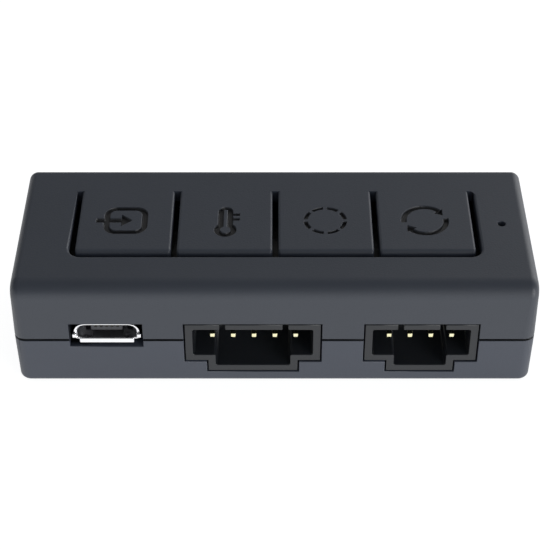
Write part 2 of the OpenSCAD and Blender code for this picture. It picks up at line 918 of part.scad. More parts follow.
module crystal() {
    color([0.7, 0.7, 0.72])
        translate([controller_x + controller_w / 2 + crystal_gap + crystal_w / 2, chip_y, board_z - crystal_h])
            linear_extrude(crystal_h)
                rounded_rectangle(crystal_w, crystal_d, inside_r);
}

// Small chip number i of a row along the board: a plain block
module two_terminal(i, y, h) {
    translate([half_w - terminal_in - (4 - i) * terminal_pitch, y, board_z - h / 2])
        cube([terminal_l, terminal_w, h], center = true);
}

module chip_capacitor(i) {
    color([0.72, 0.6, 0.45])
        two_terminal(i, capacitor_y, capacitor_h);
}

module chip_resistor(i) {
    color([0.15, 0.15, 0.15])
        two_terminal(i, resistor_y, resistor_h);
}

// Four pan-head screws that go up through the bottom cover's posts into the top cover's bosses
module case_screws() {
    color([0.3, 0.3, 0.32])
        for (p = screw_places)
            translate([p[0], p[1], head_z])
                difference() {
                    union() {
                        cylinder(d = screw_head_d, h = screw_head_h);
                        cylinder(d = screw_d, h = screw_head_h + screw_l);
                    }
                    for (turn = [0, 90])
                        rotate(turn)
                            translate([-drive_l / 2, -drive_w / 2, -past])
                                cube([drive_l, drive_w, past + drive_depth]);
                }
}

top_cover();
bottom_cover();
button(1);  // button_input
button(2);  // button_thermometer
button(3);  // button_ring
button(4);  // button_cycle
circuit_board();
usb_shell();
usb_insulator();
usb_contact(1);  // usb_contact_1
usb_contact(2);  // usb_contact_2
usb_contact(3);  // usb_contact_3
usb_contact(4);  // usb_contact_4
usb_contact(5);  // usb_contact_5
shroud(five_x, five_w, five_foot_w, 5, five_pin_x);  // five_pin_shroud
for (i = [1:5])
    pin(five_pin_x + (i - 3) * pin_pitch);
shroud(four_x, four_w, four_foot_w, 4, four_x);  // four_pin_shroud
for (i = [1:4])
    pin(four_x + (i - 2.5) * pin_pitch);
for (i = [1:4]) {
    switch_body(i);
    switch_plunger(i);
    chip_capacitor(i);
    chip_resistor(i);
}
status_light();
microcontroller();
voltage_regulator();
crystal();
case_screws();
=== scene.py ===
# %% [markdown]
# # A lighting controller and its sockets
# The real object is a small plastic box, a little longer than a matchbox: two moulded covers
# close over a circuit board. Four buttons are cut out of the roof as flexing tongues, and three
# sockets look out of the front wall. The frame holds the solids at their real size. This script
# gives them their looks: soft moulded edges, engraved signs, plated metal and fine surfaces.

# %% Load the frame
import json
import math

import bmesh
import bpy
import numpy as np
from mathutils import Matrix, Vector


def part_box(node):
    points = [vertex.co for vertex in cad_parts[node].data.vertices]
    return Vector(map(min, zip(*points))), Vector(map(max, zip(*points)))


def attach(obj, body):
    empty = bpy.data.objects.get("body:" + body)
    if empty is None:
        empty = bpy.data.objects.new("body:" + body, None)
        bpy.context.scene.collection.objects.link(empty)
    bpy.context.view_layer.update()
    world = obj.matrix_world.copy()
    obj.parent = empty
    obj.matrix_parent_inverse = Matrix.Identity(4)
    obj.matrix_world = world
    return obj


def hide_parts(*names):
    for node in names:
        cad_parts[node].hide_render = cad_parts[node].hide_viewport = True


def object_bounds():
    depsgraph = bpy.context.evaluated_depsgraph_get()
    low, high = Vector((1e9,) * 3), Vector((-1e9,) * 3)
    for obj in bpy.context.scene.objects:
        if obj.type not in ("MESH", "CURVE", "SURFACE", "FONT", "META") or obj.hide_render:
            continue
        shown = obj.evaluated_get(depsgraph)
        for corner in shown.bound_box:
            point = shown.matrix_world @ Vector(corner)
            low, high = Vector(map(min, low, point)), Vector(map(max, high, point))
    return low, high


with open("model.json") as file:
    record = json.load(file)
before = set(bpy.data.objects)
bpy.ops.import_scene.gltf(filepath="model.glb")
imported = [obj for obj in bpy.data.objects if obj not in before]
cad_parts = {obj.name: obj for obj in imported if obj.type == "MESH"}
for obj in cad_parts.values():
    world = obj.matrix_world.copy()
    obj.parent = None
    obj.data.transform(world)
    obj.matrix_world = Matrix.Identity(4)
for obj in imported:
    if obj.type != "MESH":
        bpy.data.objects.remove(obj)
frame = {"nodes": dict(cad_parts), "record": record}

MM = 0.001
cad_box = [list(corner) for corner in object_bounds()]
scene = bpy.context.scene
scene.view_settings.view_transform = "Standard"
print("frame:", len(frame["nodes"]), "nodes, box in mm:", np.round(np.array(cad_box) / MM, 2).tolist())

# %% [markdown]
# ## The camera
# The photograph looks down on the front of the box from a little over 20 cm away. A lens of
# about 107 mm gives the mild perspective in which the roof narrows towards the back. The place
# was worked out from the housing's edges and corners, so that they fall where the photo has them.

# %% Camera
EYE_BACK = 156.24
EYE_UP = 138.66
LOOK_DOWN = 40.107
LENS = 107.43

camera_data = bpy.data.cameras.new("camera")
camera_data.lens = LENS
camera_data.sensor_width = 36
camera_data.shift_x = 0.0008
camera = bpy.data.objects.new("camera", camera_data)
camera.location = (0, -EYE_BACK * MM, EYE_UP * MM)
camera.rotation_euler = (math.radians(90 - LOOK_DOWN), 0, 0)
scene.collection.objects.link(camera)
scene.camera = camera
print("camera:", LENS, "mm lens,", LOOK_DOWN, "degrees down")

# %% [markdown]
# ## Shader maths as plain expressions
# Node trees are easier to read as formulas. The class Value wraps one output socket, and its
# operators add a Math node each, so a material can say 0.4 + 0.1 * grain. The class Finish holds
# one material: its method node() adds any other node from a type, settings and socket values.

# %% Value
class Value:
    """A number that changes over a surface: one output socket, with Python's arithmetic."""

    def __init__(self, finish, socket):
        self.finish = finish
        self.socket = socket

    def _math(self, operation, first, second):
        return self.finish.node("ShaderNodeMath", {"operation": operation}, {0: first, 1: second})

    def __add__(self, other):
        return self._math("ADD", self, other)

    def __sub__(self, other):
        return self._math("SUBTRACT", self, other)

    def __rsub__(self, other):
        return self._math("SUBTRACT", other, self)

    def __mul__(self, other):
        return self._math("MULTIPLY", self, other)

    __radd__ = __add__
    __rmul__ = __mul__


# %% Finish
class Finish:
    """One material, or the world, and its node tree."""

    def __init__(self, name, owner=None):
        self.owner = owner or bpy.data.materials.new(name)
        self.owner.use_nodes = True
        self.tree = self.owner.node_tree
        self.tree.nodes.clear()

    def node(self, kind, settings=None, sockets=None, output=0):
        """Adds a node, sets its settings, then gives its sockets their values or links."""
        made = self.tree.nodes.new(kind)
        for key, setting in (settings or {}).items():
            setattr(made, key, setting)
        for key, item in (sockets or {}).items():
            socket = made.inputs[key]
            if isinstance(item, Value):
                self.tree.links.new(item.socket, socket)
            else:
                socket.default_value = item
        return Value(self, made.outputs[output]) if len(made.outputs) else None

    def place(self):
        """The point's own place on the piece, in metres."""
        return self.node("ShaderNodeTexCoord", output="Object")

    def noise(self, size, detail=2.0, stretch=(1, 1, 1)):
        """Soft random values around 0.5, in patches of about size millimetres."""
        spread = self.node(
            "ShaderNodeMapping", {"vector_type": "POINT"}, {"Vector": self.place(), "Scale": stretch}
        )
        sockets = {"Vector": spread, "Scale": 1 / (size * MM), "Detail": detail}
        return self.node("ShaderNodeTexNoise", None, sockets)

    def height(self):
        """The point's height above the floor, in metres."""
        return self.node("ShaderNodeSeparateXYZ", None, {"Vector": self.place()}, output="Z")

    def blend(self, amount, first, second):
        """The colour first where amount is 0, and second where it is 1.

        A Mix node has a set of sockets for each kind of data: 6, 7 and output 2 are the colours.
        """
        sockets = {0: amount, 6: first, 7: second}
        return self.node("ShaderNodeMix", {"data_type": "RGBA"}, sockets, output=2)

    def bump(self, height, depth):
        """Relief: height times depth millimetres, as a changed normal."""
        sockets = {"Height": height, "Distance": depth * MM, "Strength": 1.0}
        return self.node("ShaderNodeBump", None, sockets)

    def surface(self, **sockets):
        """Ends the material in one Principled shader with these sockets.

        Specular is how strongly it mirrors seen straight on: 0.5 is a usual plastic, more is glossier.
        """
        named = {key.replace("_", " "): item for key, item in sockets.items()}
        named["Specular IOR Level"] = named.pop("Specular", 0.5)
        shader = self.node("ShaderNodeBsdfPrincipled", None, named)
        self.node("ShaderNodeOutputMaterial", None, {"Surface": shader})
        return self.owner


# %% Screen tones
def tone(red, green, blue):
    """A colour given as screen values from 0 to 255, turned into linear light."""
    part = np.array((red, green, blue)) / 255
    low = part / 12.92
    high = ((part + 0.055) / 1.055) ** 2.4
    return tuple(np.where(part <= 0.04045, low, high).tolist()) + (1.0,)


print("screen value 128 is", round(tone(128, 128, 128)[0], 3), "in linear light")

# %% [markdown]
# ## Floor, background and light
# The photo is a studio picture on pure white. The floor is a plain pale sheet that the lamps
# light, and for the rays that a viewer looks along part of it glows, so that it reads as white
# while a trace of the object's shadow stays. A darker floor with a bright picture behind it would
# do as well, but then its edge would show in the plated metal.

# %% Floor and world
def seen_directly(finish):
    """1 for rays that end on the background as a viewer sees it, also through a mirror or glass."""
    names = ("Is Camera Ray", "Is Glossy Ray", "Is Transmission Ray")
    rays = [finish.node("ShaderNodeLightPath", output=name) for name in names]
    return rays[0] + rays[1] + rays[2]


FLOOR_HALF = 1.5
floor_mesh = bpy.data.meshes.new("floor")
floor_corners = [(x * FLOOR_HALF, y * FLOOR_HALF, 0) for x, y in ((-1, -1), (1, -1), (1, 1), (-1, 1))]
floor_mesh.from_pydata(floor_corners, [], [(0, 1, 2, 3)])
floor = bpy.data.objects.new("floor", floor_mesh)
scene.collection.objects.link(floor)

PAPER = 0.8
PAPER_SHOWN = 0.3
GLOW = 0.88
paper = Finish("white_paper")
matt = paper.node("ShaderNodeBsdfDiffuse", None, {"Color": (PAPER, PAPER, PAPER, 1)})
shown = paper.node("ShaderNodeBsdfDiffuse", None, {"Color": (PAPER_SHOWN, PAPER_SHOWN, PAPER_SHOWN, 1)})
glow = paper.node("ShaderNodeEmission", None, {"Color": (1, 1, 1, 1), "Strength": GLOW})
bright = paper.node("ShaderNodeAddShader", None, {0: shown, 1: glow})
floor_shader = paper.node("ShaderNodeMixShader", None, {"Fac": seen_directly(paper), 1: matt, 2: bright})
paper.node("ShaderNodeOutputMaterial", None, {"Surface": floor_shader})
floor_mesh.materials.append(paper.owner)
print("floor: a sheet", 2 * FLOOR_HALF, "m wide")

# %% [markdown]
# A real studio has white paper that curves up behind the object and a dark ceiling above it, and
# satin plastic mirrors both. The world does the same with one formula: full white at the horizon,
# which falls off smoothly to a dim ceiling. An image of a studio would give more detail than so
# rough a surface can show.

# %% Room
CEILING = 0.1
DIM = 0.53
world = bpy.data.worlds.new("studio")
scene.world = world
room = Finish("studio", world)
sight = room.node("ShaderNodeTexCoord", output="Generated")
rise = room.node("ShaderNodeSeparateXYZ", None, {"Vector": sight}, output="Z")
paper_edge = {"Value": rise, "From Min": 0.02, "From Max": 0.28, "To Min": 1.0, "To Max": CEILING}
backdrop_glow = room.node("ShaderNodeMapRange", {"interpolation_type": "SMOOTHSTEP"}, paper_edge)
dim = room.node("ShaderNodeBackground", None, {"Color": (0.92, 0.96, 1.0, 1), "Strength": DIM})
white = room.node("ShaderNodeBackground", None, {"Color": (1, 1, 1, 1), "Strength": backdrop_glow})
backdrop = room.node("ShaderNodeMixShader", None, {"Fac": seen_directly(room), 1: dim, 2: white})
room.node("ShaderNodeOutputWorld", None, {"Surface": backdrop})
print("room: ceiling", CEILING, "of the paper's white")


# %% [markdown]
# Three softboxes light the set, all weak, because dark plastic turns grey under strong ones. One
# stands low in front on the right and lights the front wall. One behind on the right draws the
# thin light line along the right edge. One high behind is mirrored in the flat of the roof but not
# in the round of its front edge, which is why that round starts darker than the roof.

# %% Lamps
def softbox(name, place, size, power):
    """A square lamp at place, in metres, turned by two angles so that it faces the object."""
    data = bpy.data.lights.new(name, "AREA")
    data.shape = "SQUARE"
    data.size = size
    data.energy = power
    lamp = bpy.data.objects.new(name, data)
    lamp.location = place
    x, y, z = place
    lamp.rotation_euler = (math.atan2(math.hypot(x, y), z), 0, math.atan2(x, -y))
    scene.collection.objects.link(lamp)


softbox("front_softbox", (0.8, -0.8, 0.28), 0.6, 5.7)
softbox("back_softbox", (0.9, 0.9, 0.45), 1.0, 5.5)
softbox("high_softbox", (0.0, 0.75, 1.0), 0.9, 0.62)

# %% [markdown]
# ## Moulded plastic
# The housing is a dark blue-grey plastic with a satin skin. Its mould was lightly spark-eroded,
# which leaves grains of about a fifth of a millimetre, just fine enough to show as a faint
# texture. Larger, very weak patches come from the way the melt cooled. A photograph of plastic
# could be laid on, but noise has no seams and no size to stretch. The same recipe with other
# tones and finer grain serves the headers, the chips and the small light.

# %% Plastics
PARTING_Z = 6.8
GROOVE_HALF = 0.16
COOLING_PATCH = 9.0


def moulded_plastic(name, colour, shade, roughness, grain=0.22, relief=0.012, recess_shade=None, gloss=0.5):
    """Satin plastic: faint cooling patches between two colours, and an eroded grain as relief.

    Where the piece's own attribute sunk is 1, in a sign, and in the narrow groove at the parting
    line, the colour is the darker tone given for recesses: painted shade, as little light gets in.
    """
    finish = Finish(name)
    patches = finish.noise(COOLING_PATCH)
    eroded = finish.noise(grain, 1.0)
    skin = finish.blend(patches, colour, shade)
    if recess_shade:
        sunk = finish.node("ShaderNodeAttribute", {"attribute_name": "sunk"}, output="Fac")
        level = {0: finish.height(), 1: PARTING_Z * MM, 2: GROOVE_HALF * MM}
        groove = finish.node("ShaderNodeMath", {"operation": "COMPARE"}, level)
        # Painted shade: in the sign and in the parting groove the colour turns to the darker recess
        # tone.
        skin = finish.blend(groove, finish.blend(sunk, skin, recess_shade), recess_shade)
    return finish.surface(
        Base_Color=skin,
        Roughness=roughness + 0.12 * (eroded - 0.5),
        Normal=finish.bump(eroded, relief),
        Specular=gloss,
    )


# Painted shade: a dark tone that stands in for the shade in the signs' engraving and the parting groove.
RECESS_PAINTED_SHADE = tone(20, 21, 25)
housing_plastic = moulded_plastic(
    "housing_plastic", tone(42, 48, 59), tone(46, 52, 63), 0.5, recess_shade=RECESS_PAINTED_SHADE, gloss=0.8
)
# The lower cover gets the same plastic in a lighter tone: painted light, for the floor's glow that its
# slightly downward-facing walls catch.
lower_plastic = moulded_plastic(
    "lower_plastic", tone(54, 60, 73), tone(58, 64, 77), 0.5, recess_shade=RECESS_PAINTED_SHADE, gloss=0.8
)
header_plastic = moulded_plastic(
    "header_plastic", tone(26, 29, 34), tone(30, 33, 38), 0.42, 0.08, 0.003, gloss=0.6
)
insulator_plastic = moulded_plastic(
    "insulator_plastic", tone(70, 70, 73), tone(78, 78, 81), 0.5, 0.06, 0.002
)
plunger_plastic = moulded_plastic(
    "plunger_plastic", tone(24, 24, 25), tone(30, 30, 31), 0.45, 0.06, 0.002
)
chip_resin = moulded_plastic("chip_resin", tone(26, 26, 28), tone(34, 34, 36), 0.6, 0.05, 0.003)
light_resin = moulded_plastic(
    "light_resin", tone(225, 226, 215), tone(240, 240, 232), 0.3, 0.1, 0.002
)
print("plastics:", sum(m.name.endswith(("plastic", "resin")) for m in bpy.data.materials))

# %% [markdown]
# ## Plated metal
# The socket's shell is steel sheet with bright nickel or tin, and the pins are gold over nickel.
# Metal lives from what it mirrors. Rolling the sheet leaves very fine lines along it, which show
# as a slightly uneven gloss, so the roughness follows a noise that is stretched along the sheet.

# %% Metals
ALONG_SHEET = (1, 0.08, 1)
PLATING_PATCH = 0.9


def plated(name, colour, shade, roughness, line=0.05, relief=0.0006):
    """Metal plate: rolled lines in its gloss, and small patches where the plating is duller."""
    finish = Finish(name)
    lines = finish.noise(line, 2.0, ALONG_SHEET)
    patches = finish.noise(PLATING_PATCH, 3.0)
    return finish.surface(
        Base_Color=finish.blend(patches, colour, shade),
        Metallic=1.0,
        Roughness=roughness + 0.1 * (lines - 0.5) + 0.05 * patches,
        Normal=finish.bump(lines, relief),
    )


bright_plate = plated("bright_plate", tone(253, 253, 255), tone(247, 248, 251), 0.09)
gold_plate = plated("gold_plate", tone(255, 253, 224), tone(254, 245, 186), 0.11)
can_metal = plated("can_metal", tone(186, 187, 190), tone(170, 171, 174), 0.3)
screw_steel = plated("screw_steel", tone(92, 93, 97), tone(70, 71, 75), 0.32)
print("metals:", [bright_plate.name, gold_plate.name, can_metal.name, screw_steel.name])

# %% [markdown]
# ## Board, ceramic and solder mask
# The board hardly shows, but it is looked at when the part is opened. Solder mask is a thin
# glossy lacquer over copper tracks, which stand out a little and shine through lighter. The
# small capacitors and resistors are fired ceramic, as dull as plastic, so they share its recipe.

# %% Board and ceramics
CELLS_PER_METRE = 450.0
WEAVE = 0.3


def solder_mask():
    """Black lacquer with lighter tracks: the borders between the cells of a Voronoi pattern.

    The distance to the nearest border is mapped to 0 on it and 1 off it, and a track is the rest.
    """
    finish = Finish("board_laminate")
    cells = finish.node(
        "ShaderNodeTexVoronoi",
        {"feature": "DISTANCE_TO_EDGE", "distance": "CHEBYCHEV"},
        {"Vector": finish.place(), "Scale": CELLS_PER_METRE},
    )
    edge = {"Value": cells, "From Min": 0.05, "From Max": 0.09}
    tracks = 1 - finish.node("ShaderNodeMapRange", {"clamp": True}, edge)
    weave = finish.noise(WEAVE)
    return finish.surface(
        Base_Color=finish.blend(tracks, tone(16, 18, 20), tone(30, 33, 36)),
        Roughness=0.24 + 0.14 * weave,
        Normal=finish.bump(tracks + 0.1 * weave, 0.02),
    )


board_laminate = solder_mask()
capacitor_ceramic = moulded_plastic(
    "capacitor_ceramic", tone(150, 120, 88), tone(170, 140, 104), 0.4, 0.05, 0.002
)
resistor_ceramic = moulded_plastic(
    "resistor_ceramic", tone(22, 22, 24), tone(40, 40, 42), 0.35, 0.05, 0.002
)
print("finishes:", len(bpy.data.materials))

# %% [markdown]
# ## The covers
# The solids already have the covers' walls, draft and large radii. What they lack is what a
# mould leaves on every cut edge: a small round that catches the light. Modelling it by hand would
# repeat the whole outline, so a copy of each solid is welded into one skin, the triangles of the
# flat roof are joined, and a Bevel rounds chosen edges. How much each edge is rounded is its
# bevel weight.

# %% Softened copies of solids
ROOF_Z = cad_box[1][2] / MM


def on_roof(face):
    """Whether a face lies in the flat of the roof."""
    return face.normal.z > 0.9999 and face.calc_center_median().z > (ROOF_Z - 0.02) * MM


def welded_copy(node, name, flat):
    """A copy of a frame solid as one skin; flat triangles are joined where flat says so."""
    piece = bpy.data.objects.new(name, frame["nodes"][node].data.copy())
    scene.collection.objects.link(piece)
    skin = bmesh.new()
    skin.from_mesh(piece.data)
    bmesh.ops.remove_doubles(skin, verts=skin.verts, dist=1e-6)
    inner = [
        edge for edge in skin.edges
        if len(edge.link_faces) == 2 and all(flat(face) for face in edge.link_faces)
    ]
    bmesh.ops.dissolve_limit(skin, angle_limit=0.001, verts=[], edges=inner)
    skin.to_mesh(piece.data)
    skin.free()
    return piece


print("roof at", round(ROOF_Z, 2), "mm")


# %% Rounded edges
FACETS_BELOW = 32


def edge_places(mesh):
    """Middle of every edge, in millimetres, and the signed angle between the two faces beside it."""
    skin = bmesh.new()
    skin.from_mesh(mesh)
    middles = np.array([(e.verts[0].co + e.verts[1].co) / 2 for e in skin.edges]) / MM
    turns = np.array([e.calc_face_angle_signed(0.0) for e in skin.edges])
    skin.free()
    return middles, turns


def soften(piece, weights, width, segments):
    """Rounds each edge by its weight times width, and keeps the flat faces flat in shading."""
    layer = piece.data.attributes.new("bevel_weight_edge", "FLOAT", "EDGE")
    layer.data.foreach_set("value", weights.astype(np.float32))
    bevel = piece.modifiers.new("rounds", "BEVEL")
    bevel.limit_method = "WEIGHT"
    bevel.width = width * MM
    bevel.segments = segments
    bevel.use_clamp_overlap = False
    bevel.miter_outer = "MITER_ARC"
    piece.data.shade_smooth()
    piece.data.set_sharp_from_angle(angle=math.radians(FACETS_BELOW))
    normals = piece.modifiers.new("flat_faces", "WEIGHTED_NORMAL")
    normals.keep_sharp = True


def stand_in(piece, node, material):
    """Gives the copy of a solid its finish, and lets it take that solid's place in the housing."""
    piece.data.materials.clear()
    piece.data.materials.append(material)
    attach(piece, "housing")
    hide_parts(node)


print("edges turned by over", FACETS_BELOW, "degrees stay sharp")

# %% [markdown]
# In the photo the slots round the buttons are narrower at the bottom than at the top, since their
# edges are well rounded. The walls of the roof's one large opening are therefore moved in a little
# before they are rounded, and the cell that makes the buttons moves their sides out by as much.
# The solids keep their plain slots.

# %% The opening in the roof, read from the buttons
NEAR = 0.05
SLOT = 0.95
FRONT_GAP = 1.05
OPENING_R = 1.45
ROOF_T = 1.6
DRAFT_SIDE = 0.12
DRAFT_TIP = 0.1
first_button = np.array(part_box("button_input")) / MM
last_button = np.array(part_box("button_cycle")) / MM
OPENING_LEFT = first_button[0][0] - SLOT
OPENING_RIGHT = last_button[1][0] + SLOT
OPENING_FRONT = first_button[0][1] - FRONT_GAP
ROOT_Y = first_button[1][1]


def narrowed(mesh):
    """Moves the walls of the roof's opening inwards: the sides by DRAFT_SIDE, the front by DRAFT_TIP.

    A round corner moves as a whole, so each wall's share reaches to the end of its arcs.
    """
    flat = np.empty(len(mesh.vertices) * 3, np.float32)
    mesh.vertices.foreach_get("co", flat)
    x, y, z = flat.reshape(-1, 3).T / MM
    opening = (x > OPENING_LEFT - NEAR) & (x < OPENING_RIGHT + NEAR)
    opening &= (y > OPENING_FRONT - NEAR) & (y < ROOT_Y + NEAR) & (z > ROOF_Z - ROOF_T - NEAR)
    reach = OPENING_R + NEAR
    left = opening & (x < OPENING_LEFT + reach)
    right = opening & (x > OPENING_RIGHT - reach)
    front = opening & (y < OPENING_FRONT + reach)
    moved = np.stack([x + DRAFT_SIDE * left - DRAFT_SIDE * right, y + DRAFT_TIP * front, z], axis=-1)
    mesh.vertices.foreach_set("co", (moved * MM).astype(np.float32).ravel())
    print("opening:", int(opening.sum()), "corners of its walls moved in")


print("opening in the roof:", round(OPENING_RIGHT - OPENING_LEFT, 2), "mm wide")

# %% The two covers
SLOT_ROUND = 0.3
SLIGHT = 0.3
HOLE_REACH = 1.1
WALL_NEAR = 0.2
RIM_DEPTH = 2.0
light_x = np.array(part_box("status_light"))[:, 0].mean() / MM


def cover(node, name, plastic):
    """One cover with its cut edges rounded.

    The slots' edges get the full round, and the light's hole and the cuts in the walls SLIGHT of it.
    A cut in a wall lies within WALL_NEAR of the outside, above the foot and below the roof's rim.
    """
    piece = welded_copy(node, name, on_roof)
    narrowed(piece.data)
    middles, turns = edge_places(piece.data)
    x, y, z = middles.T
    low, high = np.array(cad_box) / MM
    sharp = turns > math.radians(30)
    on_top = sharp & (z > ROOF_Z - NEAR)
    light_hole = on_top & (np.abs(x - light_x) < HOLE_REACH)
    slots = on_top & ~light_hole & (y < ROOT_Y - NEAR)
    in_skin = (high[0] - np.abs(x) < WALL_NEAR) | (y - low[1] < WALL_NEAR) | (high[1] - y < WALL_NEAR)
    wall_cuts = sharp & in_skin & (z > WALL_NEAR) & (z < ROOF_Z - RIM_DEPTH)
    weights = np.where(slots, 1.0, 0.0) + np.where(wall_cuts | light_hole, SLIGHT, 0.0)
    soften(piece, weights, SLOT_ROUND, 4)
    stand_in(piece, node, plastic)
    print(name, "edges rounded:", int((weights > 0).sum()))


cover("top_cover", "upper_cover", housing_plastic)
cover("bottom_cover", "lower_cover", lower_plastic)

# %% [markdown]
# ## Patches of surface
# The buttons and small parts are worked out with numpy. A patch is an array of points, rows by
# columns, and its faces are the quads between neighbours. A Shell collects patches, joins their
# shared borders and turns all faces outwards, so the piece ends as one closed skin.

# %% Shell
class Shell:
    """Patches of one piece, with points in millimetres."""

    def __init__(self):
        self.points = []
        self.faces = []

    def add(self, points, quads, outlines=()):
        """Adds points, n by 3, with quads and many-sided outlines that count from the first of them."""
        first = sum(len(part) for part in self.points)
        self.points.append(points)
        self.faces += (quads + first).tolist()
        self.faces += [(outline + first).tolist() for outline in outlines]

    def grid(self, points, wrap=False):
        """A patch of rows by columns; wrap joins the last column to the first."""
        rows, columns = points.shape[:2]
        index = np.arange(rows * columns).reshape(rows, columns)
        if wrap:
            index = np.concatenate([index, index[:, :1]], axis=1)
        quads = np.stack([index[:-1, :-1], index[:-1, 1:], index[1:, 1:], index[1:, :-1]], axis=-1)
        self.add(points.reshape(-1, 3), quads.reshape(-1, 4))

    def build(self, name, material, body, crease=50):
        """Makes the object: borders welded, faces outwards, edges over crease degrees kept sharp."""
        mesh = bpy.data.meshes.new(name)
        mesh.from_pydata((np.concatenate(self.points) * MM).tolist(), [], self.faces)
        skin = bmesh.new()
        skin.from_mesh(mesh)
        bmesh.ops.remove_doubles(skin, verts=skin.verts, dist=2e-7)
        bmesh.ops.dissolve_degenerate(skin, edges=skin.edges, dist=1e-8)
        bmesh.ops.recalc_face_normals(skin, faces=skin.faces)
        open_edges = sum(1 for edge in skin.edges if not edge.is_manifold)
        skin.to_mesh(mesh)
        skin.free()
        mesh.shade_smooth()
        mesh.set_sharp_from_angle(angle=math.radians(crease))
        mesh.materials.append(material)
        piece = bpy.data.objects.new(name, mesh)
        scene.collection.objects.link(piece)
        normals = piece.modifiers.new("flat_faces", "WEIGHTED_NORMAL")
        normals.keep_sharp = True
        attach(piece, body)
        print(name, "faces:", len(mesh.polygons), "open edges:", open_edges)
        return piece


# %% [markdown]
# ## Signs as distance fields
# Each button carries an engraved sign. An outline could be cut out point by point, but the
# lines then need their own corners and joints. A distance field is simpler: a formula that says
# how far a point lies outside the sign, negative inside. The smaller of two fields joins their
# shapes, and the larger keeps only what both cover.

# %% Distance fields, in millimetres from the sign's middle
def box_field(u, v, middle, half, radius=0.0):
    """Distance to a rectangle with rounded corners."""
    du = np.abs(u - middle[0]) - half[0] + radius
    dv = np.abs(v - middle[1]) - half[1] + radius
    return np.hypot(np.maximum(du, 0), np.maximum(dv, 0)) + np.minimum(np.maximum(du, dv), 0) - radius


def disc_field(u, v, middle, radius):
    """Distance to a round disc."""
    return np.hypot(u - middle[0], v - middle[1]) - radius


def triangle_field(u, v, corners):
    """Distance to a triangle whose corners run anticlockwise: the largest of three half-planes."""
    fields = []
    for (ax, ay), (bx, by) in zip(corners, corners[1:] + corners[:1]):
        length = math.hypot(bx - ax, by - ay)
        fields.append(((u - ax) * (by - ay) - (v - ay) * (bx - ax)) / length)
    return np.maximum.reduce(fields)


print("a disc of 1 mm at its middle:", float(disc_field(0, 0, (0, 0), 1)), "mm")


# %% The four signs
def input_sign(u, v):
    """An arrow that enters a rounded frame."""
    rim = np.abs(box_field(u, v, (0, 0), (2.3, 2.28), 1.2)) - 0.32
    shaft = box_field(u, v, (-2.0, 0), (1.58, 0.38))
    head = triangle_field(u, v, [(-0.5, -1.05), (0.75, 0.0), (-0.5, 1.05)])
    return np.minimum(np.minimum(rim, shaft), head)


def thermometer_sign(u, v):
    """A thermometer: a sunk outline round a raised tube and bulb, and two marks beside it."""
    stem = box_field(u, v, (0, 0.35), (0.87, 2.25), 0.87)
    bulb = disc_field(u, v, (0, -1.83), 1.32)
    tube = box_field(u, v, (0, 0.2), (0.27, 1.9), 0.1)
    drop = disc_field(u, v, (0, -1.83), 0.67)
    sunk = np.maximum(np.minimum(stem, bulb), -np.minimum(tube, drop))
    marks = np.minimum(
        box_field(u, v, (1.29, 1.14), (0.42, 0.2)), box_field(u, v, (1.29, 0.23), (0.42, 0.2))
    )
    return np.minimum(sunk, marks)


def ring_sign(u, v):
    """A circle of eight dashes, with a gap every 45 degrees."""
    rim = np.abs(disc_field(u, v, (0, 0), 2.4)) - 0.21
    eighth = math.pi / 4
    turn = (np.arctan2(v, u) + eighth / 2) % eighth - eighth / 2
    gap = 0.26 - np.abs(np.hypot(u, v) * np.sin(turn))
    return np.maximum(rim, gap)


def cycle_sign(u, v):
    """Two arrows that chase each other round a circle."""

    def arrow(u, v):
        rim = np.abs(disc_field(u, v, (0, 0), 2.43)) - 0.28
        head_turn, tail_turn = math.radians(47), math.radians(188)
        past_head = u * math.sin(head_turn) - v * math.cos(head_turn)
        past_tail = v * math.cos(tail_turn) - u * math.sin(tail_turn)
        arc = np.maximum(np.maximum(rim, past_head), past_tail)
        head = triangle_field(u, v, [(2.07, 2.03), (1.1, 1.36), (2.06, 0.95)])
        return np.minimum(arc, head)

    size = 1.06
    u, v = u / size, v / size
    return size * np.minimum(arrow(u, v), arrow(-u, -v))


SIGNS = {
    "button_input": input_sign,
    "button_thermometer": thermometer_sign,
    "button_ring": ring_sign,
    "button_cycle": cycle_sign,
}
print("signs:", list(SIGNS))


# %% [markdown]
# ## The buttons
# A button is one tongue of the roof. Its top is a height field on a grid: flat, and sunk by the
# engraving's depth where the sign's field is negative, with a short slope at the border. Grid
# lines lie close together under the sign only. Cutting the sign out with a Boolean would leave
# slivers and no slope for the light to catch.

# %% The engraved top
ENGRAVED = 0.4
SLOPE = 0.1
FINE = 0.05
SIGN_REACH = (-3.75, 3.1, -3.3, 3.1)
SIGN_Y = 1.05
# Below this share of the engraving's depth the sign takes its full painted shade.
DARK_FROM = 0.3


def grid_lines(low, high, fine_low, fine_high, extra=()):
    """Places from low to high: fine steps between fine_low and fine_high, and the extra ones."""
    fine = np.linspace(fine_low, fine_high, round((fine_high - fine_low) / FINE) + 1)
    return np.unique(np.round(np.concatenate([[low, high], fine, extra]), 6))


def engraved_top(x_lines, y_lines, middle, top, sign):
    """The top as rows by columns: z is top less ENGRAVED times an S-curve of the sign's field."""
    gx, gy = np.meshgrid(x_lines, y_lines)
    inside = np.clip((SLOPE / 2 - sign(gx - middle, gy - SIGN_Y)) / SLOPE, 0, 1)
    return np.stack([gx, gy, top - ENGRAVED * inside * inside * (3 - 2 * inside)], axis=-1)


